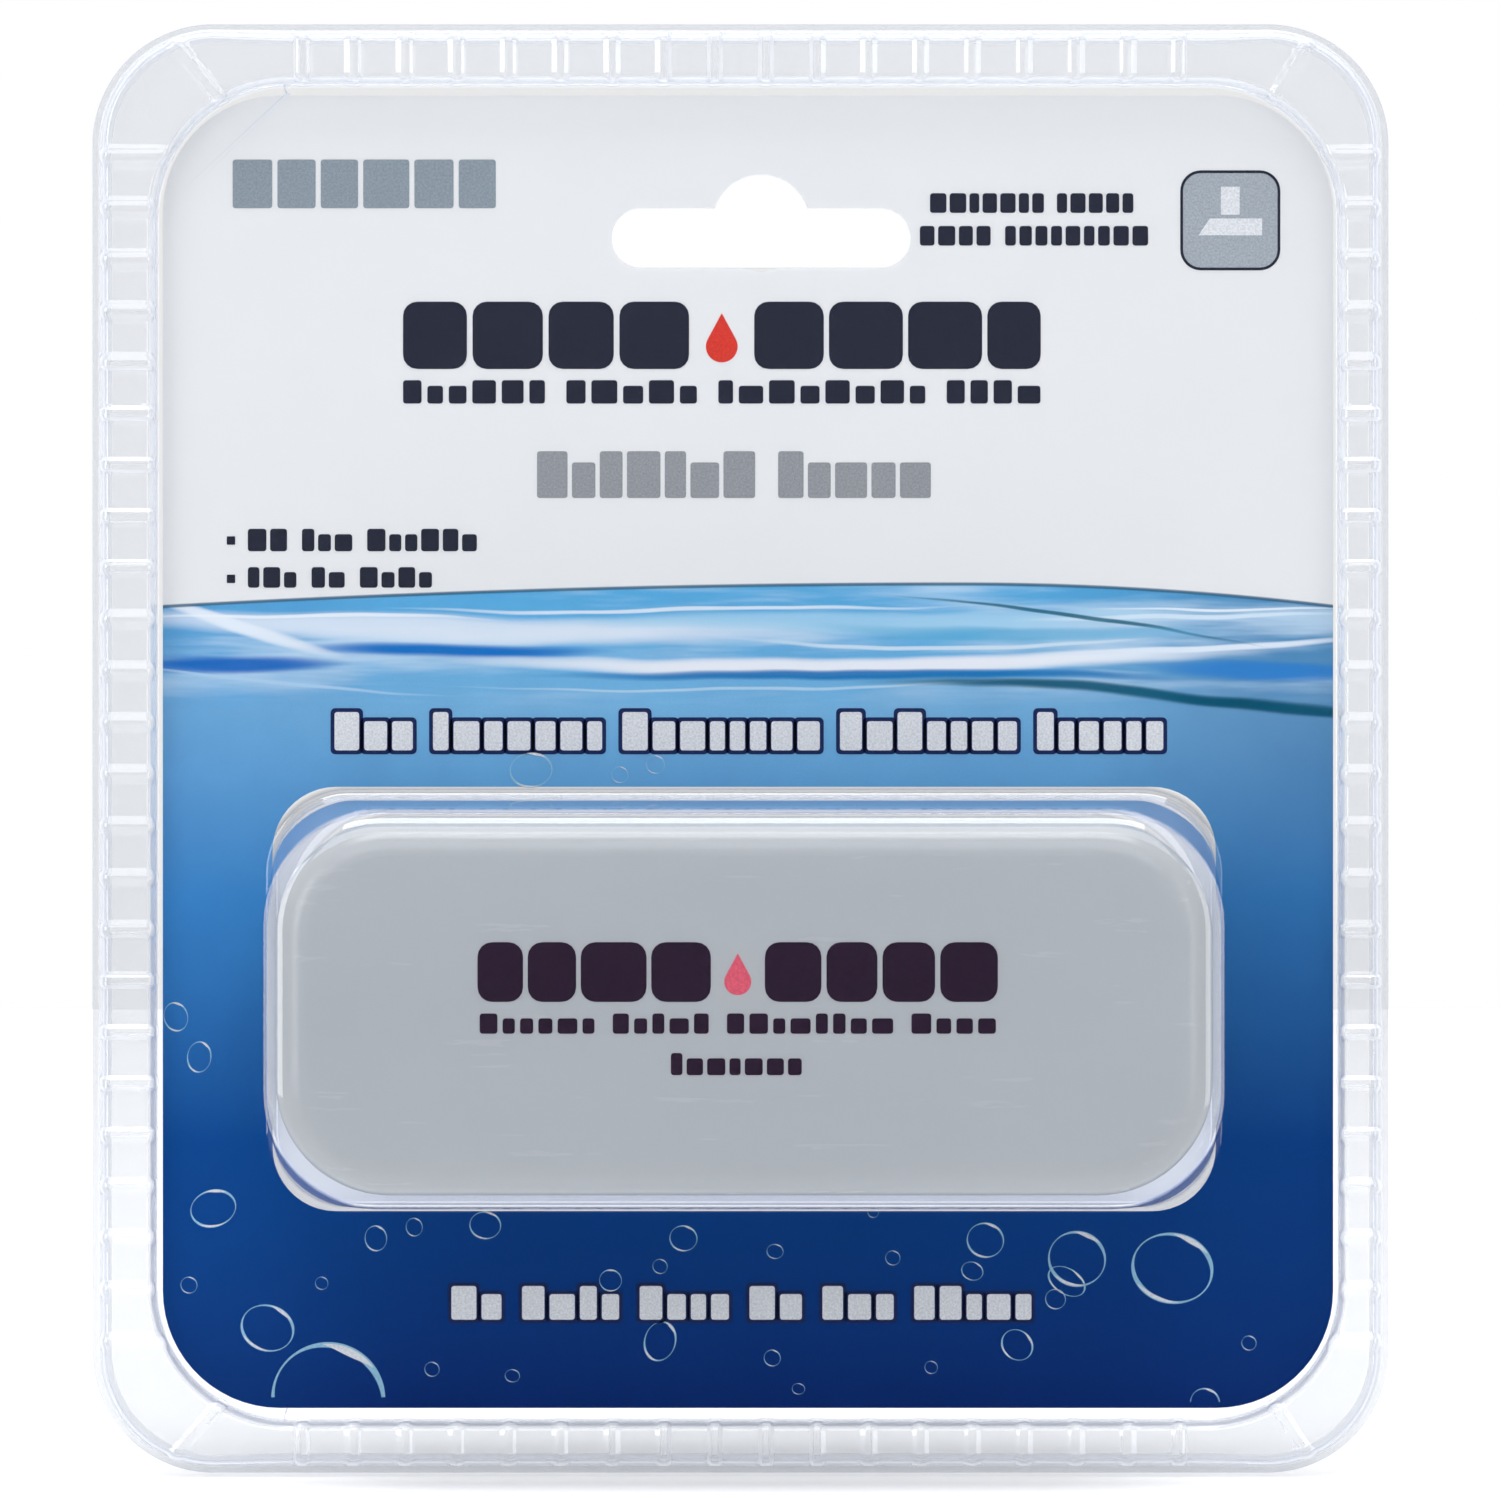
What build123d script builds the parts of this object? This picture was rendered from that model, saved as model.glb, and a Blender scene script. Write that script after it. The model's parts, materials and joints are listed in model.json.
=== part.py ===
from build123d import *

import os
from math import atan2, cos, degrees, radians, sin

# A floating magnet glass cleaner in its clear hang pack, in millimetres.
# The pack stands upright: +X right, +Z up, and the front looks towards -Y.
# Both halves of the cleaner meet pad to pad on the plane Y = 0, which is also
# the middle of the printed card. The origin is the centre of the pack.

# pack outline and sheet
pack_width = 138.6
pack_height = 154.9
pack_corner = 12.9
sheet = 0.5
card_thickness = 0.4

# raised rim that runs round both trays, between its lip and the flat window
lip_width = 0.8
window = (126.2, 142.6, 14.1)
window_x = 0.75
window_z = -0.4
rim_height = 3.2
rim_taper = 11
rim_edge_round = 0.8
rib_pitch = 5.5
ribs_across = 18
ribs_up = 24
rib_width = 1.6
rib_rise = 0.4
rib_end_gap = 0.75
corner_rib_outer_angle = 68
corner_rib_inner_angle = 60
corner_rib_length = 6.6

# domes that hold the two halves
pocket_x = 0.4
pocket_z = -27.1
pocket_depth = 28.0
pocket_foot = (100.8, 43.8, 8.0)
pocket_top = (100.0, 41.4, 12.5)
pocket_edge_round = 3.0

# card
card_size = (125.2, 140.4, 12.5)
card_x = 0.8
card_z = -0.35
card_cutout = (100.9, 45.4, 6.8)
cutout_x = 0.4
cutout_z = -26.8

# hang slot, cut through both trays and the card
slot_x = 2.2
slot_z = 54.6
slot_length = 32.0
slot_height = 6.4
slot_bump_radius = 5.2
slot_bump_rise = 1.6
slot_blend = 1.2
slot_reach = 2.0
same_level = 0.01

# cleaner halves: outline of the seam, then the moulding
half_size = (98.3, 39.6, 12.3)
half_depth = 27.0
half_taper = 1.0
half_edge_round = 3.5
wall = 1.8
roof = 2.0
base_thickness = 2.0
seam_chamfer = 0.25
plug_height = 2.5
plug_wall = 1.2
plug_clearance = 0.15
film = 0.2
film_inset = 4.6
pad_inset = 4.0
felt_thickness = 2.0
scrub_thickness = 2.5
seal_thickness = 0.6
seal_width = 1.5

# magnets and what holds them
magnet_spacing = 38.0
tray_size = (84.0, 32.0, 8.0)
tray_height = 3.0
tray_clearance = 0.2
magnet_chamfer = 0.6
yoke_corner = 3.0
foam_corner = 6.0

# slots on the wet side of the float's base for a scraper blade's holder
blade_slot_spacing = 15.0
blade_slot_length = 6.0
blade_slot_width = 1.6
blade_slot_depth = 1.0
blade_slot_inset = 2.4

# the least corner radius of an outline that is drawn in
smallest_corner = 0.5

# Each half is drawn on its own plane, whose normal points away from the card.
front = Plane.XZ
back = Plane(origin=(0, 0, 0), x_dir=(-1, 0, 0), z_dir=(0, 1, 0))


def across(side, x):
    """A row X position in the side's own sketch, which is mirrored at the back."""
    return x * side.x_dir.X


def outward(side):
    """The axis that runs from the card out through this side."""
    return Axis((0, 0, 0), side.z_dir)


def inset(size, amount):
    """A rounded rectangle's width, height and corner, drawn in by an amount."""
    width, height, corner = size
    return width - 2 * amount, height - 2 * amount, max(corner - amount, smallest_corner)


def finish(piece, name):
    """Label a piece and write it to its own file."""
    piece.part.label = name
    export_step(piece.part, f"parts/{name}.step")


def slab(side, low, high, size, x=0.0, z=0.0):
    """A flat rounded block between two distances from the card."""
    with BuildPart() as block:
        with BuildSketch(side.offset(low)):
            with Locations((across(side, x), z)):
                RectangleRounded(*size)
        extrude(amount=high - low)
    return block


def dome(side, low, drawn_in):
    """The drafted dome of a tray, or the hollow in it where it is drawn in."""
    place = (across(side, pocket_x), pocket_z)
    with BuildPart() as shape:
        with BuildSketch(side.offset(low)):
            with Locations(place):
                RectangleRounded(*inset(pocket_foot, drawn_in))
        with BuildSketch(side.offset(pocket_depth - drawn_in)):
            with Locations(place):
                RectangleRounded(*inset(pocket_top, drawn_in))
        loft(ruled=True)
        fillet(shape.edges().group_by(outward(side))[-1], pocket_edge_round - drawn_in)
    return shape.part


def rim(side, drawn_in):
    """The raised rim as a solid ring, or the hollow under it where it is drawn in."""
    outline = (pack_width, pack_height, pack_corner)
    with BuildPart() as ring:
        with BuildSketch(side):
            RectangleRounded(*inset(outline, lip_width + drawn_in))
            with Locations((across(side, window_x), window_z)):
                RectangleRounded(*inset(window, -drawn_in), mode=Mode.SUBTRACT)
        extrude(amount=rim_height - drawn_in, taper=rim_taper)
        fillet(ring.edges().group_by(outward(side))[-1], rim_edge_round - drawn_in / 2)
    return ring.part


def ribs(side):
    """Outlines of the ribs on the rim, as (x, z, width, height, turn) in the side's own sketch."""
    bars = []
    for toward in (-1, 1):
        outer = toward * (pack_height / 2 - lip_width)
        inner = window_z + toward * window[1] / 2
        length = abs(outer - inner) - 2 * rib_end_gap
        for i in range(ribs_across):
            x = (i - (ribs_across - 1) / 2) * rib_pitch
            bars.append((x, (outer + inner) / 2, rib_width, length, 0))
        outer = toward * (pack_width / 2 - lip_width)
        inner = across(side, window_x) + toward * window[0] / 2
        length = abs(outer - inner) - 2 * rib_end_gap
        for i in range(ribs_up):
            z = (i - (ribs_up - 1) / 2) * rib_pitch
            bars.append(((outer + inner) / 2, z, length, rib_width, 0))
    return bars + corner_ribs(side)


def corner_ribs(side):
    """One slanting rib across each wide corner of the rim."""
    bars = []
    outer_radius = pack_corner - lip_width
    outer_angle = radians(corner_rib_outer_angle)
    inner_angle = radians(corner_rib_inner_angle)
    for right in (-1, 1):
        for up in (-1, 1):
            outer_x = right * (pack_width / 2 - pack_corner + outer_radius * cos(outer_angle))
            outer_z = up * (pack_height / 2 - pack_corner + outer_radius * sin(outer_angle))
            reach_x = window[0] / 2 - window[2] + window[2] * cos(inner_angle)
            reach_z = window[1] / 2 - window[2] + window[2] * sin(inner_angle)
            inner_x = across(side, window_x) + right * reach_x
            inner_z = window_z + up * reach_z
            turn = degrees(atan2(outer_z - inner_z, outer_x - inner_x))
            middle = ((outer_x + inner_x) / 2, (outer_z + inner_z) / 2)
            bars.append((*middle, corner_rib_length, rib_width, turn))
    return bars


def hang_slot_cutter(side):
    """A bar with the euro slot's outline, for cutting the slot through a piece."""
    with BuildSketch(Plane.XY) as outline:
        SlotOverall(slot_length, slot_height)
        with Locations((0, slot_bump_rise)):
            Circle(slot_bump_radius)
        level = [corner for corner in outline.vertices() if abs(corner.Y - slot_height / 2) < same_level]
        fillet(sorted(level, key=lambda corner: abs(corner.X))[:2], slot_blend)
    with BuildPart() as cutter:
        with BuildSketch(side.offset(-slot_reach)):
            with Locations((across(side, slot_x), slot_z)):
                add(outline.sketch)
        extrude(amount=2 * slot_reach)
    return cutter.part


def shell(side, name):
    """One clear tray: lip, hollow rim with ribs, flat window, dome and hang slot."""
    window_level = card_thickness / 2
    outline = (pack_width, pack_height, pack_corner)
    dome_outside = dome(side, window_level, 0)
    dome_inside = dome(side, 0, sheet)
    rim_outside = rim(side, 0)
    rim_inside = rim(side, sheet)
    slot = hang_slot_cutter(side)
    with BuildPart() as tray:
        with BuildSketch(side):
            RectangleRounded(*outline)
            RectangleRounded(*inset(outline, lip_width + sheet), mode=Mode.SUBTRACT)
        extrude(amount=sheet)
        add(rim_outside)
        add(rim_inside, mode=Mode.SUBTRACT)
        with BuildSketch(side.offset(window_level)):
            with Locations((across(side, window_x), window_z)):
                RectangleRounded(*inset(window, -sheet))
        extrude(amount=sheet)
        add(dome_outside)
        add(dome_inside, mode=Mode.SUBTRACT)
        with BuildSketch(side.offset(rim_height - sheet / 2)):
            for x, z, width, height, turn in ribs(side):
                with Locations((x, z)):
                    Rectangle(width, height, rotation=turn)
        extrude(amount=sheet / 2 + rib_rise)
        add(slot, mode=Mode.SUBTRACT)
    finish(tray, name)


def insert_card():
    """The printed card, with a cut-out that the cleaner passes through."""
    slot = hang_slot_cutter(front)
    with BuildPart() as card:
        with BuildSketch(front.offset(-card_thickness / 2)):
            with Locations((card_x, card_z)):
                RectangleRounded(*card_size)
            with Locations((cutout_x, cutout_z)):
                RectangleRounded(*card_cutout, mode=Mode.SUBTRACT)
        extrude(amount=card_thickness)
        add(slot, mode=Mode.SUBTRACT)
    finish(card, "insert_card")


def moulding(side, low, high, size, edge_round):
    """A drafted block with a rounded far edge, on the cleaner's own centre."""
    with BuildPart() as block:
        with BuildSketch(side.offset(low)):
            with Locations((across(side, pocket_x), pocket_z)):
                RectangleRounded(*size)
        extrude(amount=high - low, taper=half_taper)
        fillet(block.edges().group_by(outward(side))[-1], edge_round)
    return block.part


def half_cover(side, seam, name):
    """The grey cover of one half: a hollow box that is open towards the glass."""
    outside = moulding(side, seam, half_depth, half_size, half_edge_round)
    inside = moulding(side, seam, half_depth - roof, inset(half_size, wall), half_edge_round - wall)
    with BuildPart() as cover:
        add(outside)
        add(inside, mode=Mode.SUBTRACT)
        chamfer(cover.faces().sort_by(outward(side))[0].outer_wire().edges(), seam_chamfer)
    finish(cover, name)


def half_base(side, low, plug_top, name, blade_slots):
    """The flat base of one half, with a plug that locates it in the cover."""
    place = (across(side, pocket_x), pocket_z)
    plug = inset(half_size, wall + plug_clearance)
    with BuildPart() as base:
        with BuildSketch(side.offset(low)):
            with Locations(place):
                RectangleRounded(*half_size)
        extrude(amount=base_thickness)
        chamfer(base.faces().sort_by(outward(side))[-1].outer_wire().edges(), seam_chamfer)
        with BuildSketch(side.offset(low + base_thickness)):
            with Locations(place):
                RectangleRounded(*plug)
                RectangleRounded(*inset(plug, plug_wall), mode=Mode.SUBTRACT)
        extrude(amount=plug_top - low - base_thickness)
        if blade_slots:
            reach = half_size[0] / 2 - blade_slot_inset
            with BuildSketch(side.offset(low)):
                with Locations((across(side, pocket_x - reach), pocket_z)):
                    with GridLocations(1, blade_slot_spacing, 1, 2):
                        Rectangle(blade_slot_width, blade_slot_length)
            extrude(amount=blade_slot_depth, mode=Mode.SUBTRACT)
    finish(base, name)


def seam_seal(side, low, name):
    """Flat gasket ring in the float's seam, outside the base's plug."""
    outside = inset(half_size, 2 * seam_chamfer)
    hole = inset(outside, seal_width - plug_clearance)
    with BuildPart() as seal:
        with BuildSketch(side.offset(low)):
            with Locations((across(side, pocket_x), pocket_z)):
                RectangleRounded(*outside)
                RectangleRounded(*hole, mode=Mode.SUBTRACT)
        extrude(amount=seal_thickness)
    finish(seal, name)


def magnet(side, low, size, x, name):
    """One block magnet with broken edges."""
    length, height, thickness = size
    with BuildPart() as block:
        with BuildSketch(side.offset(low)):
            with Locations((across(side, pocket_x + x), pocket_z)):
                Rectangle(length, height)
        extrude(amount=thickness)
        chamfer(block.edges().filter_by(Axis.Y), magnet_chamfer)
    finish(block, name)


def magnet_tray(side, low, magnet_size, name):
    """Thin frame that lies on the base and keeps the two magnets apart."""
    length, height, _ = magnet_size
    with BuildPart() as frame:
        with BuildSketch(side.offset(low)):
            with Locations((across(side, pocket_x), pocket_z)):
                RectangleRounded(*tray_size)
                with GridLocations(magnet_spacing, 1, 2, 1):
                    Rectangle(length + 2 * tray_clearance, height + 2 * tray_clearance, mode=Mode.SUBTRACT)
        extrude(amount=tray_height)
    finish(frame, name)


def half(side, who, pad_name, pad_thickness, seal, magnet_size, yoke_size, foam_name, foam_size, blade_slots):
    """Build one half of the cleaner, from the pad on the glass out to its cover."""
    film_level = pad_thickness
    base_level = film_level + film
    inside_level = base_level + base_thickness
    seam = inside_level + seal
    magnet_top = inside_level + magnet_size[2]
    yoke_length, yoke_height, yoke_thickness = yoke_size
    yoke_top = magnet_top + yoke_thickness

    pad = slab(side, 0, pad_thickness, inset(half_size, pad_inset), pocket_x, pocket_z)
    finish(pad, f"{who}_{pad_name}")
    adhesive = slab(side, film_level, base_level, inset(half_size, film_inset), pocket_x, pocket_z)
    finish(adhesive, f"{who}_pad_adhesive")
    half_base(side, base_level, seam + plug_height, f"{who}_base", blade_slots)
    if seal:
        seam_seal(side, inside_level, f"{who}_seal")
    half_cover(side, seam, f"{who}_cover")
    magnet_tray(side, inside_level, magnet_size, f"{who}_magnet_tray")
    magnet(side, inside_level, magnet_size, -magnet_spacing / 2, f"{who}_magnet_left")
    magnet(side, inside_level, magnet_size, magnet_spacing / 2, f"{who}_magnet_right")
    yoke = slab(side, magnet_top, yoke_top, (yoke_length, yoke_height, yoke_corner), pocket_x, pocket_z)
    finish(yoke, f"{who}_yoke")
    foam = slab(side, yoke_top, half_depth - roof, (*foam_size, foam_corner), pocket_x, pocket_z)
    finish(foam, f"{who}_{foam_name}")


os.makedirs("parts", exist_ok=True)

half(
    side=front,
    who="handle",
    pad_name="felt_pad",
    pad_thickness=felt_thickness,
    seal=0,
    magnet_size=(28.0, 24.0, 5.0),
    yoke_size=(70.0, 26.0, 1.2),
    foam_name="foam_spacer",
    foam_size=(76.0, 28.0),
    blade_slots=False,
)
half(
    side=back,
    who="float",
    pad_name="scrub_pad",
    pad_thickness=scrub_thickness,
    seal=seal_thickness,
    magnet_size=(25.0, 20.0, 4.0),
    yoke_size=(66.0, 22.0, 1.0),
    foam_name="foam_block",
    foam_size=(88.0, 31.0),
    blade_slots=True,
)
insert_card()
shell(front, "front_shell")
shell(back, "back_shell")
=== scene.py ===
import json
import math
import random

import bmesh
import bpy
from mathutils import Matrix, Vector


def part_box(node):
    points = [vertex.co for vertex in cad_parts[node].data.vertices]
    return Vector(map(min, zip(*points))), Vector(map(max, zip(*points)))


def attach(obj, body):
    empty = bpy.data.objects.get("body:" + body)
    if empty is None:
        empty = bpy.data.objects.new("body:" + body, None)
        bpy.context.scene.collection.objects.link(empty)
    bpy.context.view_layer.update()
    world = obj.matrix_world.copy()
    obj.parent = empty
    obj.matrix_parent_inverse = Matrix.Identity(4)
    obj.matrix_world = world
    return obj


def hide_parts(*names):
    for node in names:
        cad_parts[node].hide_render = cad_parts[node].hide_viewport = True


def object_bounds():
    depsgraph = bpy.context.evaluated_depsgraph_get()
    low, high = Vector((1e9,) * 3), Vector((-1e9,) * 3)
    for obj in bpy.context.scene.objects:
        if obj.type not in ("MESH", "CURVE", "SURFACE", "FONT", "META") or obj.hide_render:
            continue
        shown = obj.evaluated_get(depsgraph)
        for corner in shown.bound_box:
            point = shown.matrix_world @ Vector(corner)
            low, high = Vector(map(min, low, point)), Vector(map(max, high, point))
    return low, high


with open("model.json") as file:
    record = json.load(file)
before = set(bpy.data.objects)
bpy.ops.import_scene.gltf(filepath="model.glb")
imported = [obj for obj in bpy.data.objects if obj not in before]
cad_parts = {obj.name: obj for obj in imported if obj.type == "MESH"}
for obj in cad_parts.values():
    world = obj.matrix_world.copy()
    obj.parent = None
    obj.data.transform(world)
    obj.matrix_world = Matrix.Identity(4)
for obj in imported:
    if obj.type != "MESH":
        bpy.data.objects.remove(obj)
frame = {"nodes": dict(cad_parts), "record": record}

cad_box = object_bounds()
random.seed(11)

# Metres throughout. The pack stands upright: +X right, +Z up, front towards -Y.
MM = 0.001
FRONT = -1
BACK = 1

# pack, as the CAD has it
shell_low, shell_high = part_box("front_shell")
PACK_WIDTH = shell_high.x - shell_low.x
PACK_HEIGHT = shell_high.z - shell_low.z
DOME_DEPTH = -shell_low.y
PACK_CORNER = 12.9 * MM
SHEET = 0.42 * MM
LIP_HEIGHT = 0.5 * MM
WINDOW_HEIGHT = 0.7 * MM
RIM_HEIGHT = 3.2 * MM
WINDOW = (126.2 * MM, 142.6 * MM, 14.1 * MM)
WINDOW_X = 0.75 * MM
WINDOW_Z = -0.4 * MM
RIB_PITCH = 5.5 * MM
RIBS_ACROSS = 18
RIBS_UP = 24
RIB_RISE = 0.38 * MM
RIB_HALF = 0.45 * MM
RIB_EDGE = 0.40 * MM
RIM_STEP = 0.42 * MM
PROFILE_WIDTH = 5.9 * MM
TOP_STEPS = 8

# where the rim's corners begin, and the two ends of the slanting rib across each
CORNER_FROM_X = 48.5 * MM
CORNER_FROM_Z = 64.3 * MM
CORNER_STEPS = 60
CORNER_RIB_OUTER_ANGLE = 68
CORNER_RIB_INNER_ANGLE = 60

# dome: rounded rectangles at its foot and at its flat top
DOME_FOOT = (100.8 * MM, 43.8 * MM, 8.0 * MM)
DOME_TOP = (100.0 * MM, 41.4 * MM, 12.5 * MM)
FOOT_ROUND = 1.0 * MM
SHOULDER_ROUND = 3.0 * MM

# cleaner
face_low, face_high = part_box("handle_cover")
CENTRE_X = (face_low.x + face_high.x) / 2
CENTRE_Z = (face_low.z + face_high.z) / 2
FACE_Y = face_low.y
CLEANER_CORNER = 12.0 * MM

# card and its hang slot
card_low, card_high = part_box("insert_card")
SLOT_X = 2.2 * MM
SLOT_Z = 54.6 * MM
SLOT_LENGTH = 32.0 * MM
SLOT_HEIGHT = 6.4 * MM
SLOT_BUMP = 5.2 * MM
SLOT_BUMP_RISE = 1.6 * MM

# studio light
WORLD_DIM = 0.02
WORLD_SIDE = 0.38
WORLD_BRIGHT = 1.0
FLOOR_GLOW = 0.25
TOP_POWER = 14.0
OVERHEAD_POWER = 25.0
LEFT_POWER = 15.5
RIGHT_POWER = 7.5

# printed ink stands just off the card, or off the cleaner's face
INK = 0.015 * MM
INK_GAP = 0.02 * MM


# ---------------------------------------------------------------- node helpers


class Nodes:
    """A material's node tree, with short calls for the nodes that repeat."""

    def __init__(self, name):
        self.material = bpy.data.materials.new(name)
        self.material.use_nodes = True
        self.tree = self.material.node_tree
        self.tree.nodes.clear()
        self.output = self.tree.nodes.new("ShaderNodeOutputMaterial")

    def new(self, kind, **settings):
        node = self.tree.nodes.new(kind)
        for name, value in settings.items():
            setattr(node, name, value)
        return node

    def link(self, source, target):
        self.tree.links.new(source, target)

    def put(self, socket, value):
        """A linked value or a plain one, whichever is given."""
        if isinstance(value, bpy.types.NodeSocket):
            self.link(value, socket)
        else:
            socket.default_value = value

    def math(self, operation, first, second=0.0, clamp=False):
        node = self.new("ShaderNodeMath", operation=operation, use_clamp=clamp)
        self.put(node.inputs[0], first)
        self.put(node.inputs[1], second)
        return node.outputs[0]

    def scaled(self, value, factor, shift):
        """The value times a factor, plus a shift."""
        node = self.new("ShaderNodeMath", operation="MULTIPLY_ADD")
        for socket, given in zip(node.inputs, (value, factor, shift)):
            self.put(socket, given)
        return node.outputs[0]

    def mix(self, share, first, second):
        node = self.new("ShaderNodeMix", data_type="RGBA")
        self.put(node.inputs["Factor"], share)
        self.put(node.inputs[6], first)
        self.put(node.inputs[7], second)
        return node.outputs[2]

    def place(self):
        """Object coordinates, which are the row frame in metres."""
        return self.new("ShaderNodeTexCoord").outputs["Object"]

    def axes(self):
        """The x, y and z of the object coordinates, in millimetres."""
        split = self.new("ShaderNodeSeparateXYZ")
        self.link(self.place(), split.inputs[0])
        return [self.math("MULTIPLY", split.outputs[i], 1000.0) for i in range(3)]

    def noise(self, scale, detail=3.0, roughness=0.55, stretch=(1.0, 1.0, 1.0)):
        """Noise whose scale is in features per metre."""
        mapping = self.new("ShaderNodeMapping")
        self.link(self.place(), mapping.inputs["Vector"])
        mapping.inputs["Scale"].default_value = stretch
        node = self.new("ShaderNodeTexNoise")
        self.link(mapping.outputs[0], node.inputs["Vector"])
        node.inputs["Scale"].default_value = scale
        node.inputs["Detail"].default_value = detail
        node.inputs["Roughness"].default_value = roughness
        return node.outputs["Fac"]

    def ramp(self, value, stops, mode="LINEAR"):
        node = self.new("ShaderNodeValToRGB")
        node.color_ramp.interpolation = mode
        marks = node.color_ramp.elements
        while len(marks) < len(stops):
            marks.new(0.5)
        for mark, (position, colour) in zip(marks, stops):
            mark.position = position
            mark.color = colour
        self.put(node.inputs[0], value)
        return node.outputs[0]

    def span(self, value, low, high, to_low=0.0, to_high=1.0, smooth=False):
        node = self.new("ShaderNodeMapRange")
        node.interpolation_type = "SMOOTHSTEP" if smooth else "LINEAR"
        self.put(node.inputs["Value"], value)
        node.inputs["From Min"].default_value = low
        node.inputs["From Max"].default_value = high
        node.inputs["To Min"].default_value = to_low
        node.inputs["To Max"].default_value = to_high
        return node.outputs[0]

    def bump(self, height, distance, strength=1.0, below=None):
        node = self.new("ShaderNodeBump")
        node.inputs["Strength"].default_value = strength
        node.inputs["Distance"].default_value = distance
        self.put(node.inputs["Height"], height)
        if below is not None:
            self.link(below, node.inputs["Normal"])
        return node.outputs[0]

    def principled(self, colour, roughness, normal=None, **plain):
        node = self.new("ShaderNodeBsdfPrincipled")
        self.put(node.inputs["Base Color"], colour)
        self.put(node.inputs["Roughness"], roughness)
        if normal is not None:
            self.link(normal, node.inputs["Normal"])
        for name, value in plain.items():
            node.inputs[name.replace("_", " ")].default_value = value
        return node

    def finish(self, shader):
        self.link(shader.outputs[0], self.output.inputs["Surface"])
        return self.material


def srgb(red, green, blue):
    """A linear colour from its 0 to 255 screen values."""
    def linear(value):
        share = value / 255
        return share / 12.92 if share <= 0.04045 else ((share + 0.055) / 1.055) ** 2.4
    return linear(red), linear(green), linear(blue), 1.0


# ------------------------------------------------------------------- materials


def outside_outline(n, x, z, size, middle, low, high):
    """Nothing inside a rounded rectangle and one outside it, easing between two distances in millimetres."""
    width, height, corner = [value / MM for value in size]
    from_x = n.math("ABSOLUTE", n.math("SUBTRACT", x, middle[0] / MM))
    from_z = n.math("ABSOLUTE", n.math("SUBTRACT", z, middle[1] / MM))
    over_x = n.math("SUBTRACT", from_x, width / 2 - corner)
    over_z = n.math("SUBTRACT", from_z, height / 2 - corner)
    far_x = n.math("MAXIMUM", over_x, 0.0)
    far_z = n.math("MAXIMUM", over_z, 0.0)
    far = n.math("SQRT", n.math("ADD", n.math("MULTIPLY", far_x, far_x), n.math("MULTIPLY", far_z, far_z)))
    near = n.math("MINIMUM", n.math("MAXIMUM", over_x, over_z), 0.0)
    outside = n.math("SUBTRACT", n.math("ADD", far, near), corner)
    return n.span(outside, low, high, smooth=True)


def rear_margin_shade(n, x, y, z):
    """Where painted shade darkens the rear dome: one on its top and shoulder outside the cleaner's outline,
    nothing on its walls.
    """
    cleaner = (face_high.x - face_low.x, face_high.z - face_low.z, CLEANER_CORNER)
    past_cleaner = outside_outline(n, x, z, cleaner, (CENTRE_X, CENTRE_Z), -0.6, 0.2)
    past_dome = outside_outline(n, x, z, DOME_FOOT, (CENTRE_X, CENTRE_Z), 0.6, 1.4)
    on_dome = n.math("SUBTRACT", past_cleaner, past_dome, clamp=True)
    normal = n.new("ShaderNodeSeparateXYZ")
    n.link(n.new("ShaderNodeTexCoord").outputs["Normal"], normal.inputs[0])
    not_wall = n.span(n.math("ABSOLUTE", normal.outputs[1]), 0.3, 0.7, smooth=True)
    on_rear = n.math("MULTIPLY", on_dome, n.math("GREATER_THAN", y, 0.0))
    return n.math("MULTIPLY", on_rear, not_wall)


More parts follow.
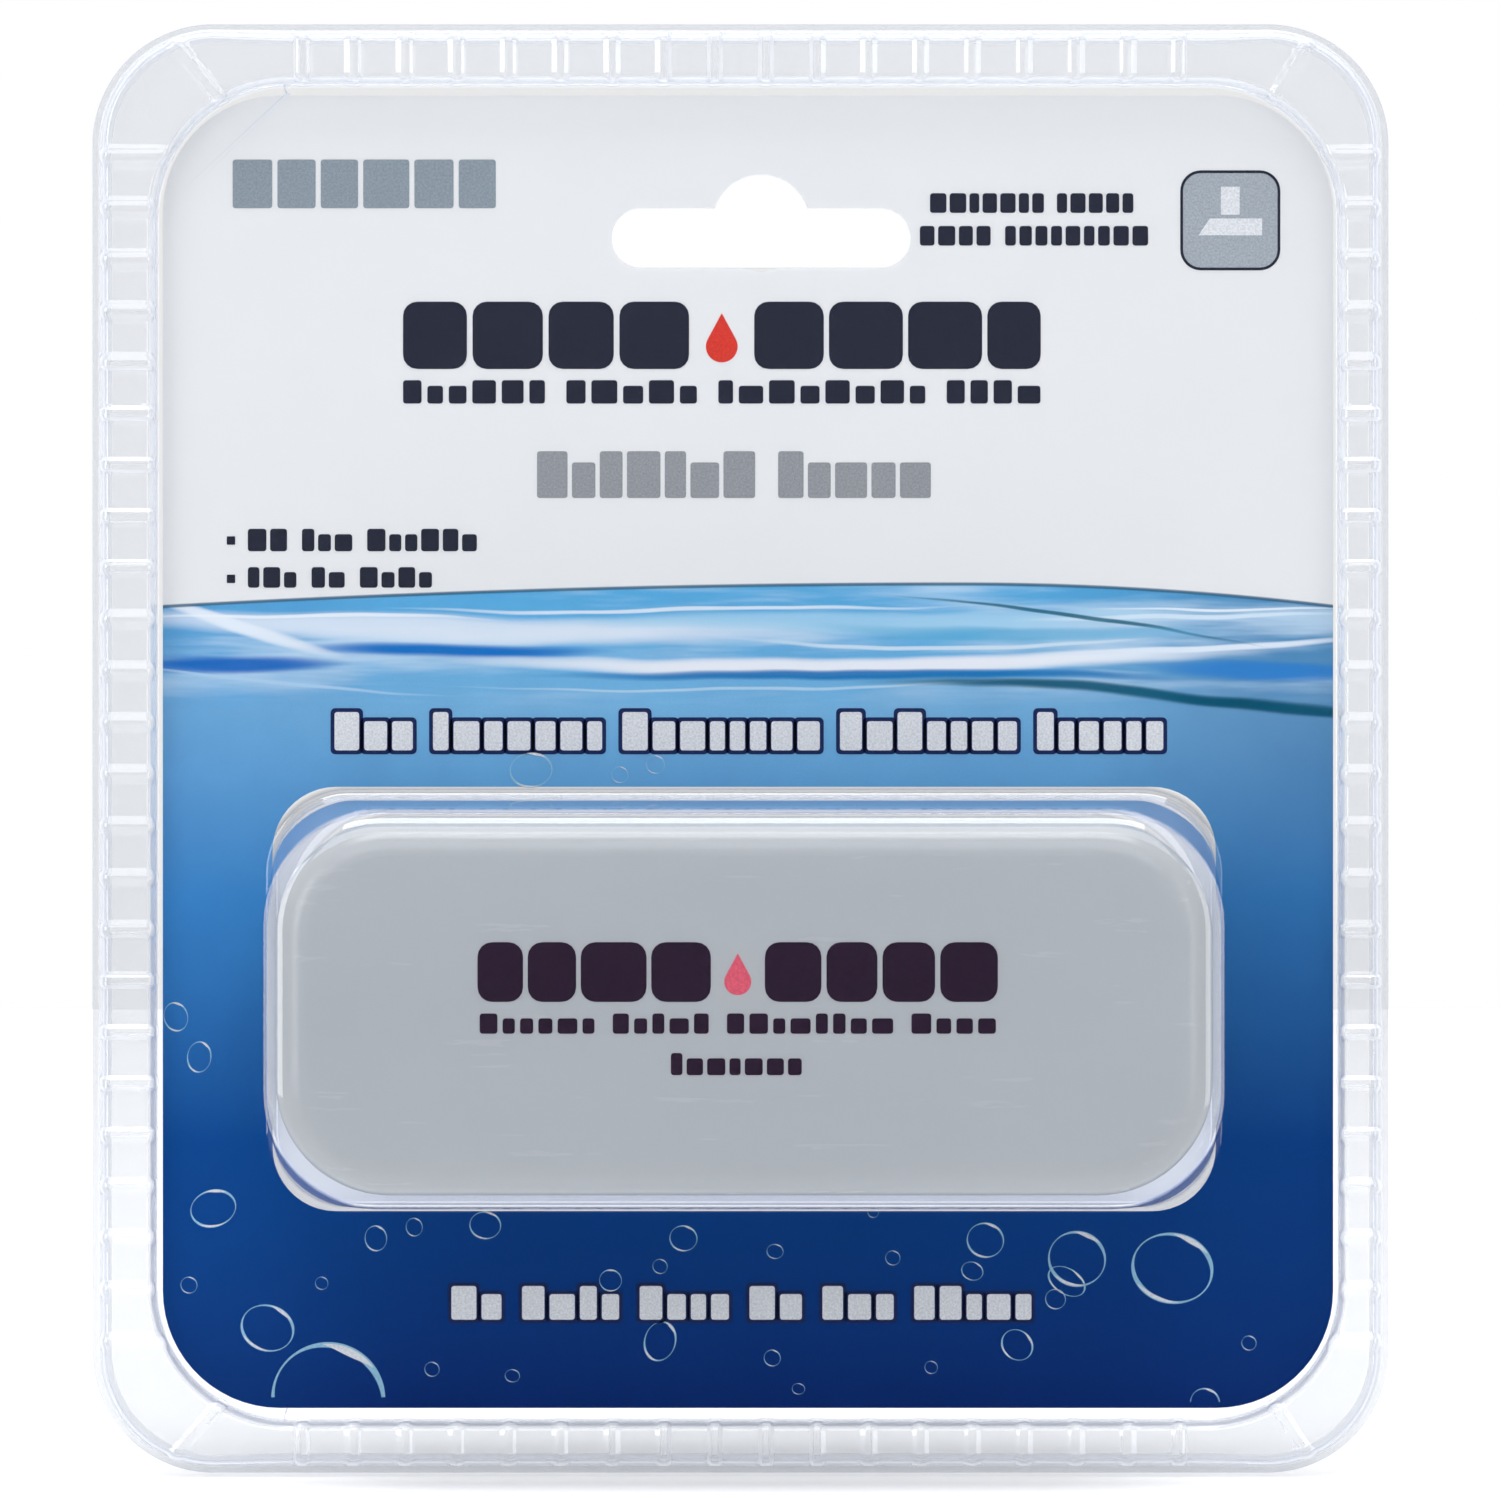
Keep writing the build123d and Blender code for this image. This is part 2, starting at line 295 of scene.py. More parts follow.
def clear_sheet():
    """Thermoformed PET: mirrors by angle, lets the rest through, and is milkier where it is drawn. Its rear
    dome's top round the cleaner lets through a grey tint as painted shade.
    """
    n = Nodes("clear_pet")
    x, y, z = n.axes()
    rim = outside_outline(n, x, z, WINDOW, (WINDOW_X, WINDOW_Z), -0.2, 0.5)
    entering = n.math("SUBTRACT", 1.0, n.new("ShaderNodeNewGeometry").outputs["Backfacing"])
    fresnel = n.new("ShaderNodeFresnel")
    fresnel.inputs["IOR"].default_value = 1.5
    twice = n.math("MULTIPLY", fresnel.outputs[0], 2.0)
    both = n.math("DIVIDE", twice, n.math("ADD", fresnel.outputs[0], 1.0))
    reflects = n.math("MULTIPLY", both, entering)
    facing = n.new("ShaderNodeLayerWeight")
    facing.inputs["Blend"].default_value = 0.5
    slope = n.span(facing.outputs["Facing"], 0.02, 0.45, smooth=True)
    clear = n.new("ShaderNodeBsdfTransparent")
    tint = n.mix(rim, (0.986, 0.987, 0.989, 1.0), (0.966, 0.969, 0.975, 1.0))
    edge_on = n.span(facing.outputs["Facing"], 0.55, 0.95, smooth=True)
    tint = n.mix(edge_on, tint, (0.72, 0.77, 0.90, 1.0))
    # painted shade: the rear dome's top round the cleaner passes a grey tint, so the gap beside the cleaner
    # reads darker
    n.link(n.mix(rear_margin_shade(n, x, y, z), tint, (0.71, 0.72, 0.74, 1.0)), clear.inputs["Color"])
    mirror = n.new("ShaderNodeBsdfGlossy")
    mirror.inputs["Color"].default_value = srgb(250, 252, 255)
    rub = n.noise(420, 1.0)
    n.link(n.span(rub, 0.35, 0.75, 0.03, 0.09), mirror.inputs["Roughness"])
    haze = n.principled(srgb(236, 239, 245), 0.3, IOR=1.5)
    slope_veil = n.math("MULTIPLY", slope, n.span(rim, 0.0, 1.0, 0.05, 0.34))
    rim_veil = n.math("MULTIPLY", rim, 0.22)
    veil = n.math("ADD", n.math("ADD", slope_veil, rim_veil), 0.0015)
    veil = n.math("MULTIPLY", veil, entering)
    milky = n.new("ShaderNodeMixShader")
    n.link(veil, milky.inputs[0])
    n.link(clear.outputs[0], milky.inputs[1])
    n.link(haze.outputs[0], milky.inputs[2])
    sheet = n.new("ShaderNodeMixShader")
    n.link(reflects, sheet.inputs[0])
    n.link(milky.outputs[0], sheet.inputs[1])
    n.link(mirror.outputs[0], sheet.inputs[2])
    return n.finish(sheet)


def grey_moulding():
    """Glossy grey ABS with faint flow marks, fine orange peel and hairline rubs."""
    n = Nodes("grey_abs")
    flow = n.noise(28, 3.0, 0.5, (1.0, 1.0, 2.6))
    colour = n.mix(flow, srgb(175, 180, 186), srgb(181, 186, 191))
    speck = n.span(n.noise(2600, 2.0, 0.6), 0.70, 0.78)
    colour = n.mix(speck, colour, srgb(172, 177, 182))
    rub = n.span(n.noise(700, 4.0, 0.7, (0.08, 1.0, 1.0)), 0.55, 0.75)
    rough = n.scaled(rub, 0.12, 0.22)
    peel = n.bump(n.noise(1400, 2.0), 0.00002, 0.25)
    return n.finish(n.principled(colour, rough, peel, IOR=1.5, Coat_Weight=0.25, Coat_Roughness=0.28))


def streak(n, colour, x, z, middle, half_length, slope, bend, half_width, paint):
    """One long lens-shaped stroke of the water picture, along a slightly bent line."""
    run = n.math("SUBTRACT", x, middle[0])
    along = n.math("DIVIDE", run, half_length)
    square = n.math("MULTIPLY", along, along)
    line = n.scaled(run, slope, middle[1])
    bowed = n.scaled(square, bend, line)
    away = n.math("DIVIDE", n.math("SUBTRACT", z, bowed), half_width)
    inside = n.math("SUBTRACT", 1.0, n.math("ADD", square, n.math("MULTIPLY", away, away)))
    mask = n.span(inside, 0.0, 0.9, 0.0, paint[3], smooth=True)
    return n.mix(mask, colour, (*srgb(*paint[:3])[:3], 1.0))


# Strokes of the water picture in millimetres: middle, half length, slope, bend,
# half width, then colour and strength.
WATER_STROKES = [
    ((-30, 12.6), 46, -0.01, 0.5, 1.9, (226, 234, 244, 0.85)),
    ((14, 13.6), 40, 0.01, 0.6, 1.3, (170, 212, 236, 0.8)),
    ((-31, 10.2), 19, 0.00, 0.1, 1.0, (30, 118, 198, 1.0)),
    ((-54, 8.3), 13, 0.01, 0.2, 1.1, (22, 104, 190, 0.95)),
    ((12, 8.8), 52, 0.015, 1.6, 1.25, (236, 240, 247, 1.0)),
    ((-54, 12.6), 13, -0.32, 0.4, 1.0, (228, 236, 245, 0.95)),
    ((50, 10.6), 22, 0.05, 0.3, 0.42, (226, 236, 246, 0.95)),
    ((22, 11.0), 26, 0.00, 0.9, 0.35, (214, 230, 242, 0.9)),
    ((-6, 14.9), 34, 0.012, 0.2, 0.3, (224, 234, 244, 0.9)),
    ((48, 13.9), 20, 0.00, 0.1, 0.32, (216, 232, 244, 0.9)),
    ((52, 14.6), 16, -0.01, 0.2, 0.2, (232, 240, 248, 0.9)),
    ((-46, 13.9), 22, 0.02, -0.5, 0.28, (236, 242, 248, 0.85)),
    ((-49, 6.4), 20, -0.10, 0.3, 0.22, (176, 208, 234, 0.85)),
    ((0, 6.2), 34, 0.02, 0.3, 0.22, (190, 218, 238, 0.8)),
    ((14, 7.9), 40, 0.00, -0.6, 0.75, (28, 122, 188, 0.95)),
    ((42, 6.0), 32, -0.065, -1.0, 0.75, (6, 92, 122, 0.95)),
    ((60, 4.6), 18, -0.08, 0.0, 0.9, (4, 84, 112, 0.9)),
    ((36, 14.2), 22, -0.15, -0.5, 0.26, (14, 100, 128, 0.9)),
    ((30, 12.4), 24, -0.02, 0.4, 1.0, (96, 176, 216, 0.7)),
    ((56, 8.4), 14, -0.02, 0.1, 1.2, (40, 128, 206, 0.8)),
]
SKY = (228, 230, 232)

# The water line is highest at its crest and falls by the drop within its reach to each side.
CREST_X = 23.5
CREST_Z = 17.6
CREST_DROP = 2.4
CREST_LEFT = 85.0
CREST_RIGHT = 40.0
WAVE_HEIGHT = 2.6


# Blues of the printed water, from the card's foot up to the water line: level in millimetres, colour.
WATER_BLUES = [
    (-70, (2, 40, 112)),
    (-42, (2, 74, 150)),
    (-16, (72, 152, 216)),
    (4, (128, 190, 230)),
    (18, (92, 178, 226)),
]
LEFT_EDGE_BLUE = (24, 92, 172)
RIGHT_EDGE_BLUE = (4, 46, 112)
PALE_WATER = (202, 224, 241)


def water_depth(n, z):
    """The blue of open water at a level."""
    low, high = WATER_BLUES[0][0], WATER_BLUES[-1][0]
    stops = [((level - low) / (high - low), srgb(*tone)) for level, tone in WATER_BLUES]
    return n.ramp(n.span(z, low, high), stops)


def water_picture(n, x, z):
    """Colour of the card's front: a pale sky, a bowed water line and blue that deepens downwards."""
    wobble = n.noise(18, 3.0, 0.5, (1.0, 1.0, 3.0))
    z_soft = n.math("ADD", z, n.scaled(wobble, 2 * WAVE_HEIGHT, -WAVE_HEIGHT))
    blue = water_depth(n, z)
    blue = n.mix(n.span(x, -30.0, -62.0, 0.0, 0.2, smooth=True), blue, srgb(*LEFT_EDGE_BLUE))
    blue = n.mix(n.span(x, 26.0, 62.0, 0.0, 0.4, smooth=True), blue, srgb(*RIGHT_EDGE_BLUE))
    murk = n.span(n.noise(60, 4.0, 0.6), 0.35, 0.8, 0.0, 0.16)
    blue = n.mix(murk, blue, srgb(4, 52, 128))
    grain = n.span(n.noise(5200, 1.0), 0.3, 0.7, 0.0, 0.10)
    blue = n.mix(grain, blue, srgb(10, 96, 176))
    ripple = n.span(n.noise(34, 4.0, 0.6, (0.5, 1.0, 5.5)), 0.46, 0.64, smooth=True)
    near_surface = n.math("MULTIPLY", ripple, n.span(z, 3.0, 9.0, 0.0, 0.75, smooth=True))
    blue = n.mix(near_surface, blue, srgb(*PALE_WATER))
    for middle, half_length, slope, bend, half_width, paint in WATER_STROKES:
        blue = streak(n, blue, x, z_soft, middle, half_length, slope, bend, half_width, paint)
    run = n.math("SUBTRACT", x, CREST_X)
    right = n.math("GREATER_THAN", run, 0.0)
    along = n.math("DIVIDE", run, n.scaled(right, CREST_RIGHT - CREST_LEFT, CREST_LEFT))
    line = n.scaled(n.math("MULTIPLY", along, along), -CREST_DROP, CREST_Z)
    over = n.math("SUBTRACT", z, line)
    edge = n.span(n.math("ABSOLUTE", over), 0.10, 0.24, 0.85, 0.0)
    sky = n.mix(n.noise(30, 2.0), srgb(*SKY), srgb(231, 233, 235))
    above = n.span(over, -0.06, 0.06)
    picture = n.mix(above, blue, sky)
    return n.mix(edge, picture, srgb(44, 92, 124))


def printed_card():
    """Coated board: the water picture in front, a plain blue band behind, white core at the edges."""
    n = Nodes("printed_card")
    x, y, z = n.axes()
    front = water_picture(n, x, z)
    band = n.span(n.math("SUBTRACT", z, 46.0), -0.1, 0.1)
    rear = n.mix(band, srgb(228, 231, 235), srgb(24, 96, 168))
    foot = n.span(n.math("SUBTRACT", z, -60.0), 0.1, -0.1)
    rear = n.mix(foot, rear, srgb(10, 44, 112))
    colour = n.mix(n.math("GREATER_THAN", y, 0.0), front, rear)
    core = n.math("LESS_THAN", n.math("ABSOLUTE", y), 0.19)
    colour = n.mix(core, colour, srgb(236, 236, 232))
    fibre = n.noise(2400, 3.0, 0.6)
    rough = n.span(fibre, 0.3, 0.7, 0.34, 0.46)
    board = n.bump(fibre, 0.00002, 0.2)
    return n.finish(n.principled(colour, rough, board, Specular_IOR_Level=0.05))


def ink(name, red, green, blue):
    """Printed ink with a fine halftone mottle."""
    n = Nodes(name)
    mottle = n.span(n.noise(4200, 2.0), 0.35, 0.65)
    dark = [channel * 0.9 for channel in (red, green, blue)]
    colour = n.mix(mottle, srgb(red, green, blue), srgb(*dark))
    rough = n.span(n.noise(1500, 2.0), 0.3, 0.7, 0.4, 0.55)
    return n.finish(n.principled(colour, rough, Specular_IOR_Level=0.15))


def felt():
    """Dense black wool felt: matted fibres with a soft sheen."""
    n = Nodes("felt")
    fibre = n.noise(1800, 5.0, 0.7)
    colour = n.mix(fibre, srgb(24, 25, 28), srgb(62, 63, 68))
    fuzz = n.bump(fibre, 0.0002, 0.8)
    return n.finish(n.principled(colour, 0.95, fuzz, Sheen_Weight=0.6, Sheen_Roughness=0.5))


def scrub_fibre():
    """Non-woven scrub pad: stiff white-grey fibres with resin beads."""
    n = Nodes("scrub_fibre")
    strand = n.noise(1100, 4.0, 0.65)
    colour = n.mix(strand, srgb(186, 190, 192), srgb(232, 234, 234))
    beads = n.bump(strand, 0.0002, 0.7)
    rough = n.span(strand, 0.3, 0.7, 0.5, 0.85)
    return n.finish(n.principled(colour, rough, beads, Sheen_Weight=0.2))


def ferrite():
    """Pressed magnet: dark grey ceramic grain with chipped, shinier specks."""
    n = Nodes("ferrite")
    grain = n.noise(2200, 4.0, 0.7)
    colour = n.mix(grain, srgb(44, 45, 48), srgb(78, 80, 84))
    rough = n.span(grain, 0.3, 0.7, 0.45, 0.75)
    return n.finish(n.principled(colour, rough, n.bump(grain, 0.00004, 0.5), Metallic=0.2))


def zinc_steel():
    """Zinc-plated steel with brushed lines along its length."""
    n = Nodes("zinc_steel")
    lines = n.noise(900, 3.0, 0.6, (0.03, 1.0, 1.0))
    colour = n.mix(lines, srgb(164, 168, 172), srgb(208, 212, 216))
    rough = n.span(lines, 0.3, 0.7, 0.24, 0.42)
    return n.finish(n.principled(colour, rough, n.bump(lines, 0.00002, 0.4), Metallic=1.0))


def satin(name, first, second, scale, depth, low, high):
    """A plain moulded, foamed or cast surface: two close colours, grain and uneven gloss."""
    n = Nodes(name)
    grain = n.noise(scale, 4.0, 0.6)
    colour = n.mix(grain, srgb(*first), srgb(*second))
    rough = n.span(grain, 0.3, 0.7, low, high)
    return n.finish(n.principled(colour, rough, n.bump(grain, depth, 0.6)))


def floor_material():
    """Pale seamless studio paper."""
    n = Nodes("studio_paper")
    tone = n.mix(n.noise(40, 2.0), srgb(242, 242, 242), srgb(246, 246, 246))
    lit = (1.0, 1.0, 1.0, 1.0)
    return n.finish(n.principled(tone, 0.9, Emission_Color=lit, Emission_Strength=FLOOR_GLOW))


MATERIALS = {
    "clear_sheet": clear_sheet(),
    "grey_abs": grey_moulding(),
    "printed_card": printed_card(),
    "felt": felt(),
    "scrub_fibre": scrub_fibre(),
    "ferrite": ferrite(),
    "zinc_steel": zinc_steel(),
    "white_tray": satin("white_tray", (214, 214, 208), (226, 226, 222), 600, 0.00002, 0.4, 0.55),
    "closed_cell_foam": satin("closed_cell_foam", (220, 222, 226), (238, 239, 242), 1500, 0.0002, 0.8, 0.95),
    "film_adhesive": satin("film_adhesive", (206, 202, 188), (222, 219, 208), 400, 0.00002, 0.3, 0.5),
    "black_gasket": satin("black_gasket", (26, 26, 27), (38, 38, 40), 900, 0.00003, 0.6, 0.8),
}
INKS = {
    "ink_grey": ink("ink_grey", 150, 163, 174),
    "ink_picture": ink("ink_picture", 174, 183, 192),
    "ink_title": ink("ink_title", 158, 162, 168),
    "ink_dark": ink("ink_dark", 44, 48, 66),
    "ink_navy": ink("ink_navy", 24, 44, 98),
    "ink_white": ink("ink_white", 232, 235, 240),
    "ink_red": ink("ink_red", 226, 66, 54),
    "ink_pale": ink("ink_pale", 156, 206, 230),
    "ink_rose": ink("ink_rose", 226, 96, 118),
    "ink_plum": ink("ink_plum", 46, 28, 52),
}


# ---------------------------------------------------------------- mesh helpers


class Shape:
    """Vertices and faces of one piece while it is being drawn."""

    def __init__(self):
        self.points = []
        self.faces = []

    def add(self, points):
        """Adds points and returns their numbers."""
        start = len(self.points)
        self.points.extend(points)
        return list(range(start, start + len(points)))

    def band(self, first, second):
        """Quads between two closed loops of the same length."""
        count = len(first)
        for i in range(count):
            j = (i + 1) % count
            self.faces.append((first[i], first[j], second[j], second[i]))

    def piece(self, name, body, material, slot, smooth=True):
        """The drawn shape as a Blender object that rides on a body."""
        mesh = bpy.data.meshes.new(name)
        mesh.from_pydata(self.points, [], self.faces)
        mesh.validate()
        mesh.materials.append(material)
        mesh.polygons.foreach_set("use_smooth", [smooth] * len(mesh.polygons))
        item = bpy.data.objects.new(name, mesh)
        bpy.context.scene.collection.objects.link(item)
        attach(item, body)
        return item


def inset(size, amount):
    """A rounded rectangle's width, height and corner, drawn in by an amount."""
    width, height, corner = size
    return width - 2 * amount, height - 2 * amount, max(corner - amount, 0.0004)


def outline(size, arc_steps=12, runs=(1, 1), middle=(0.0, 0.0)):
    """Points (x, z) round a rounded rectangle, anticlockwise from the right, runs split (across, up)."""
    width, height, corner = size
    reach_x = width / 2 - corner
    reach_z = height / 2 - corner
    centres = [(reach_x, reach_z), (-reach_x, reach_z), (-reach_x, -reach_z), (reach_x, -reach_z)]
    points = []
    for quarter, (x, z) in enumerate(centres):
        for step in range(arc_steps + 1):
            angle = math.radians(90) * (quarter + step / arc_steps)
            points.append((x + corner * math.cos(angle), z + corner * math.sin(angle)))
        next_x, next_z = centres[(quarter + 1) % 4]
        angle = math.radians(90) * (quarter + 1)
        start = points[-1]
        end = (next_x + corner * math.cos(angle), next_z + corner * math.sin(angle))
        pieces = runs[quarter % 2]
        for step in range(1, pieces):
            share = step / pieces
            points.append((start[0] + (end[0] - start[0]) * share, start[1] + (end[1] - start[1]) * share))
    return [(x + middle[0], z + middle[1]) for x, z in points]


def rounded_path(corners, steps=6):
    """Points along a bent line, where each inner corner (a, b, radius) becomes a tangent arc."""
    path = [corners[0][:2]]
    for before, (a, b, radius), after in zip(corners, corners[1:], corners[2:]):
        back = (before[0] - a, before[1] - b)
        ahead = (after[0] - a, after[1] - b)
        back_length = math.hypot(*back)
        ahead_length = math.hypot(*ahead)
        u = (back[0] / back_length, back[1] / back_length)
        v = (ahead[0] / ahead_length, ahead[1] / ahead_length)
        half = math.acos(max(-1.0, min(1.0, u[0] * v[0] + u[1] * v[1]))) / 2
        reach = radius / math.tan(half)
        middle = (a + (u[0] + v[0]) * reach / (2 * math.cos(half) ** 2),
                  b + (u[1] + v[1]) * reach / (2 * math.cos(half) ** 2))
        start = (a + u[0] * reach - middle[0], b + u[1] * reach - middle[1])
        end = (a + v[0] * reach - middle[0], b + v[1] * reach - middle[1])
        first = math.atan2(start[1], start[0])
        turn = math.atan2(end[1], end[0]) - first
        turn = (turn + math.pi) % (2 * math.pi) - math.pi
        for step in range(steps + 1):
            angle = first + turn * step / steps
            path.append((middle[0] + radius * math.cos(angle), middle[1] + radius * math.sin(angle)))
    path.append(corners[-1][:2])
    return path


def modifier(item, kind, **settings):
    """Adds a modifier with its settings."""
    made = item.modifiers.new(kind.lower(), kind)
    for name, value in settings.items():
        setattr(made, name, value)
    return made


# ----------------------------------------------------------------- clear trays


def rise_near(distance):
    """A rib's rise, 0 to 1, at a distance from its middle line: flat on top with soft edges."""
    share = (RIB_HALF + RIB_EDGE - abs(distance)) / RIB_EDGE
    share = max(0.0, min(1.0, share))
    return share * share * (3 - 2 * share)


def corner_rib_distance(x, z):
    """Distance of a point from the middle line of the slanting rib in its own corner."""
    right = math.copysign(1, x)
    up = math.copysign(1, z)
    outer = math.radians(CORNER_RIB_OUTER_ANGLE)
    inner = math.radians(CORNER_RIB_INNER_ANGLE)
    start_x = right * (PACK_WIDTH / 2 - PACK_CORNER + PACK_CORNER * math.cos(outer))
    start_z = up * (PACK_HEIGHT / 2 - PACK_CORNER + PACK_CORNER * math.sin(outer))
    end_x = WINDOW_X + right * (WINDOW[0] / 2 - WINDOW[2] + WINDOW[2] * math.cos(inner))
    end_z = WINDOW_Z + up * (WINDOW[1] / 2 - WINDOW[2] + WINDOW[2] * math.sin(inner))
    run_x, run_z = end_x - start_x, end_z - start_z
    return ((x - start_x) * run_z - (z - start_z) * run_x) / math.hypot(run_x, run_z)


def rib_share(x, z):
    """How much a rib lifts the rim at a point."""
    if abs(x) > CORNER_FROM_X and abs(z) > CORNER_FROM_Z:
        return rise_near(corner_rib_distance(x, z))
    if abs(z) > CORNER_FROM_Z:
        along, count = x, RIBS_ACROSS
    else:
        along, count = z, RIBS_UP
    nearest = round(along / RIB_PITCH + (count - 1) / 2)
    nearest = max(0, min(count - 1, nearest))
    return rise_near(along - (nearest - (count - 1) / 2) * RIB_PITCH)


def window_x_at(z, right):
    """Where the window's outline crosses a level, on one side."""
    reach = WINDOW[1] / 2 - WINDOW[2]
    over = max(0.0, abs(z - WINDOW_Z) - reach)
    drawn_in = WINDOW[2] - math.sqrt(max(0.0, WINDOW[2] ** 2 - over ** 2))
    return WINDOW_X + right * (WINDOW[0] / 2 - drawn_in)


def path_at(share, size, right, up, from_x, from_z):
    """A point on a rounded rectangle between a level on its side and a place on its top, by length."""
    width, height, corner = size
    side_end = height / 2 - corner
    top_end = width / 2 - corner
    start_angle = math.asin(min(1.0, max(0.0, from_z - side_end) / corner))
    straight = max(0.0, side_end - from_z)
    arc = corner * (math.radians(90) - start_angle)
    flat = max(0.0, top_end - from_x)
    run = share * (straight + arc + flat)
    if run < straight:
        return right * width / 2, up * (from_z + run)
    if run < straight + arc:
        angle = start_angle + (run - straight) / corner
        return right * (top_end + corner * math.cos(angle)), up * (side_end + corner * math.sin(angle))
    return right * (top_end - (run - straight - arc)), up * height / 2


def rim_rays():
    """Matching points on the pack's outline and on the window's outline, once round the pack."""
    pack = (PACK_WIDTH, PACK_HEIGHT, PACK_CORNER)
    across = round(2 * CORNER_FROM_X / RIM_STEP)
    upward = round(2 * CORNER_FROM_Z / RIM_STEP)

    def side(right, up):
        """Up or down one side, at equal levels."""
        rays = []
        for step in range(upward + 1):
            z = up * CORNER_FROM_Z * (2 * step / upward - 1)
            rays.append(((right * PACK_WIDTH / 2, z), (window_x_at(z, right), z)))
        return rays

    def level(right, up):
        """Along the top or the bottom, at equal places."""
        rays = []
        for step in range(across + 1):
            x = right * CORNER_FROM_X * (1 - 2 * step / across)
            rays.append(((x, up * PACK_HEIGHT / 2), (x, WINDOW_Z + up * WINDOW[1] / 2)))
        return rays

    def corner(right, up):
        """Round one corner from its side to its top or bottom."""
        rays = []
        inner_x = CORNER_FROM_X - right * WINDOW_X
        inner_z = CORNER_FROM_Z - up * WINDOW_Z
        for step in range(1, CORNER_STEPS):
            share = step / CORNER_STEPS
            outer = path_at(share, pack, right, up, CORNER_FROM_X, CORNER_FROM_Z)
            x, z = path_at(share, WINDOW, right, up, inner_x, inner_z)
            rays.append((outer, (x + WINDOW_X, z + WINDOW_Z)))
        return rays

    rays = side(1, 1) + corner(1, 1) + level(1, 1)
    rays += corner(-1, 1)[::-1] + side(-1, -1) + corner(-1, -1)
    return rays + level(-1, -1) + corner(1, -1)[::-1]


def slot_outline(steps=10):
    """Points (x, z) round the hang slot: a long slot with a round bump over its middle."""
    end = SLOT_HEIGHT / 2
    reach = SLOT_LENGTH / 2 - end
    lift = end - SLOT_BUMP_RISE
    bump_half = math.acos(lift / SLOT_BUMP)
    points = []
    for step in range(2 * steps + 1):
        angle = math.radians(-90 + 180 * step / (2 * steps))
        points.append((reach + end * math.cos(angle), end * math.sin(angle)))
    for step in range(2 * steps + 1):
        angle = math.radians(90) - bump_half + 2 * bump_half * step / (2 * steps)
        points.append((SLOT_BUMP * math.cos(angle), SLOT_BUMP_RISE + SLOT_BUMP * math.sin(angle)))
    for step in range(2 * steps + 1):
        angle = math.radians(90 + 180 * step / (2 * steps))
        points.append((-reach + end * math.cos(angle), end * math.sin(angle)))
    return [(x + SLOT_X, z + SLOT_Z) for x, z in points]


def rim_profile():
    """The rim's section as (how far in, height), with the flat top split so that ribs can cross it."""
    path = rounded_path([
        (0.0, LIP_HEIGHT),
        (0.8 * MM, LIP_HEIGHT, 0.25 * MM),
        (1.42 * MM, RIM_HEIGHT, 0.8 * MM),
        (5.28 * MM, RIM_HEIGHT, 0.8 * MM),
        (PROFILE_WIDTH, WINDOW_HEIGHT, 0.35 * MM),
        (PROFILE_WIDTH + 0.8 * MM, WINDOW_HEIGHT),
    ], 5)
    split = []
    for first, second in zip(path, path[1:]):
        split.append(first)
        if second[0] - first[0] > 1.0 * MM:
            for step in range(1, TOP_STEPS):
                share = step / TOP_STEPS
                split.append((first[0] + (second[0] - first[0]) * share, RIM_HEIGHT))
    return split + [path[-1]]


def rim_rings(shape, side):
    """The raised rim from its outer lip to the window's edge, with its ribs. Returns the last loop."""
    rays = rim_rays()
    profile = rim_profile()
    flat = [point[0] for point in profile if abs(point[1] - RIM_HEIGHT) < 0.01 * MM]
    last = None
    for step, (reach, height) in enumerate(profile):
        before = profile[max(step - 1, 0)]
        after = profile[min(step + 1, len(profile) - 1)]
        run = math.hypot(after[0] - before[0], after[1] - before[1])
        out_in = -(after[1] - before[1]) / run
        out_up = (after[0] - before[0]) / run
        lift = max(0.0, min(1.0, (height - 1.2 * MM) / (1.2 * MM)))
        loop = []
        for (outer_x, outer_z), (inner_x, inner_z) in rays:
            span_x, span_z = inner_x - outer_x, inner_z - outer_z
            length = math.hypot(span_x, span_z)
            along = reach
            if reach > flat[-1]:
                along = length - (PROFILE_WIDTH - reach)
            elif reach > flat[0]:
                stretch = (length - PROFILE_WIDTH + flat[-1] - flat[0]) / (flat[-1] - flat[0])
                along = flat[0] + (reach - flat[0]) * stretch
            x = outer_x + span_x * along / length
            z = outer_z + span_z * along / length
            rise = RIB_RISE * lift * rib_share(x, z)
            slide = out_in * rise / length
            loop.append((x + span_x * slide, side * (height + out_up * rise), z + span_z * slide))
        ring = shape.add(loop)
        if last is not None:
            shape.band(last, ring)
        last = ring
    return last


def dome_ring(height, drawn_in):
    """The dome's outline at a height, drawn in by an amount, on its own centre."""
    share = height / DOME_DEPTH
    size = [foot + (top - foot) * share for foot, top in zip(DOME_FOOT, DOME_TOP)]
    return outline(inset(size, drawn_in), 14, (8, 4), (CENTRE_X, CENTRE_Z))


def dome_rings(shape, side):
    """The dome from the window's edge to its flat top. Returns the first loop."""
    profile = rounded_path([
        (-1.8 * MM, WINDOW_HEIGHT),
        (0.0, WINDOW_HEIGHT, FOOT_ROUND),
        (0.0, DOME_DEPTH, SHOULDER_ROUND),
        (5.0 * MM, DOME_DEPTH),
    ], 8)
    first = last = None
    for drawn_in, height in profile:
        points = dome_ring(height, drawn_in)
        ring = shape.add([(x, side * height, z) for x, z in points])
        if last is not None:
            shape.band(last, ring)
        else:
            first = ring
        last = ring
    shape.faces.append(tuple(last))
    return first


